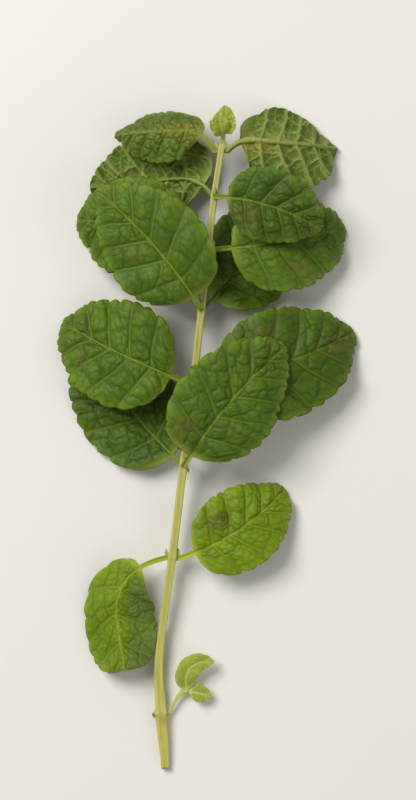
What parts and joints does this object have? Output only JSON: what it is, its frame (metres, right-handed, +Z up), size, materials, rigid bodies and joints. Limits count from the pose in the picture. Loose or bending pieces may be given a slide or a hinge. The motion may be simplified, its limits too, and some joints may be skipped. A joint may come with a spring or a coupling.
{
  "type": "mint sprig",
  "caption": "Cut mint sprig lying down: square bare stem with opposite pairs of toothed, puckered leaves, a thin side shoot and a small bud at the tip.",
  "frame": {"origin": "middle of the bounding box, on the surface that the sprig lies on", "axes": "+Y along the sprig from the cut end to the tip, +Z up from the surface, +X to the right as the camera looks down"},
  "size_m": [0.0752, 0.1664, 0.0215],
  "materials": {
    "stem": "satin green stem skin",
    "leaf": "soft satin leaf skin, puckered between the veins",
    "young_leaf": "soft satin young leaf skin"
  },
  "bodies": {
    "root": {"main_stem": "stem", "side_shoot": "young_leaf", "shoot_tip": "young_leaf", "leaf_1_left": "leaf", "leaf_1_right": "leaf", "leaf_2_front": "leaf", "leaf_2_back": "leaf", "leaf_3_left": "leaf", "leaf_3_right": "leaf", "leaf_4_front": "leaf", "leaf_4_back": "leaf", "leaf_5_left": "leaf", "leaf_5_right": "leaf", "leaf_6_front": "leaf", "leaf_6_back": "leaf", "leaf_7_left": "leaf", "leaf_7_right": "leaf"}
  },
  "joints": []
}
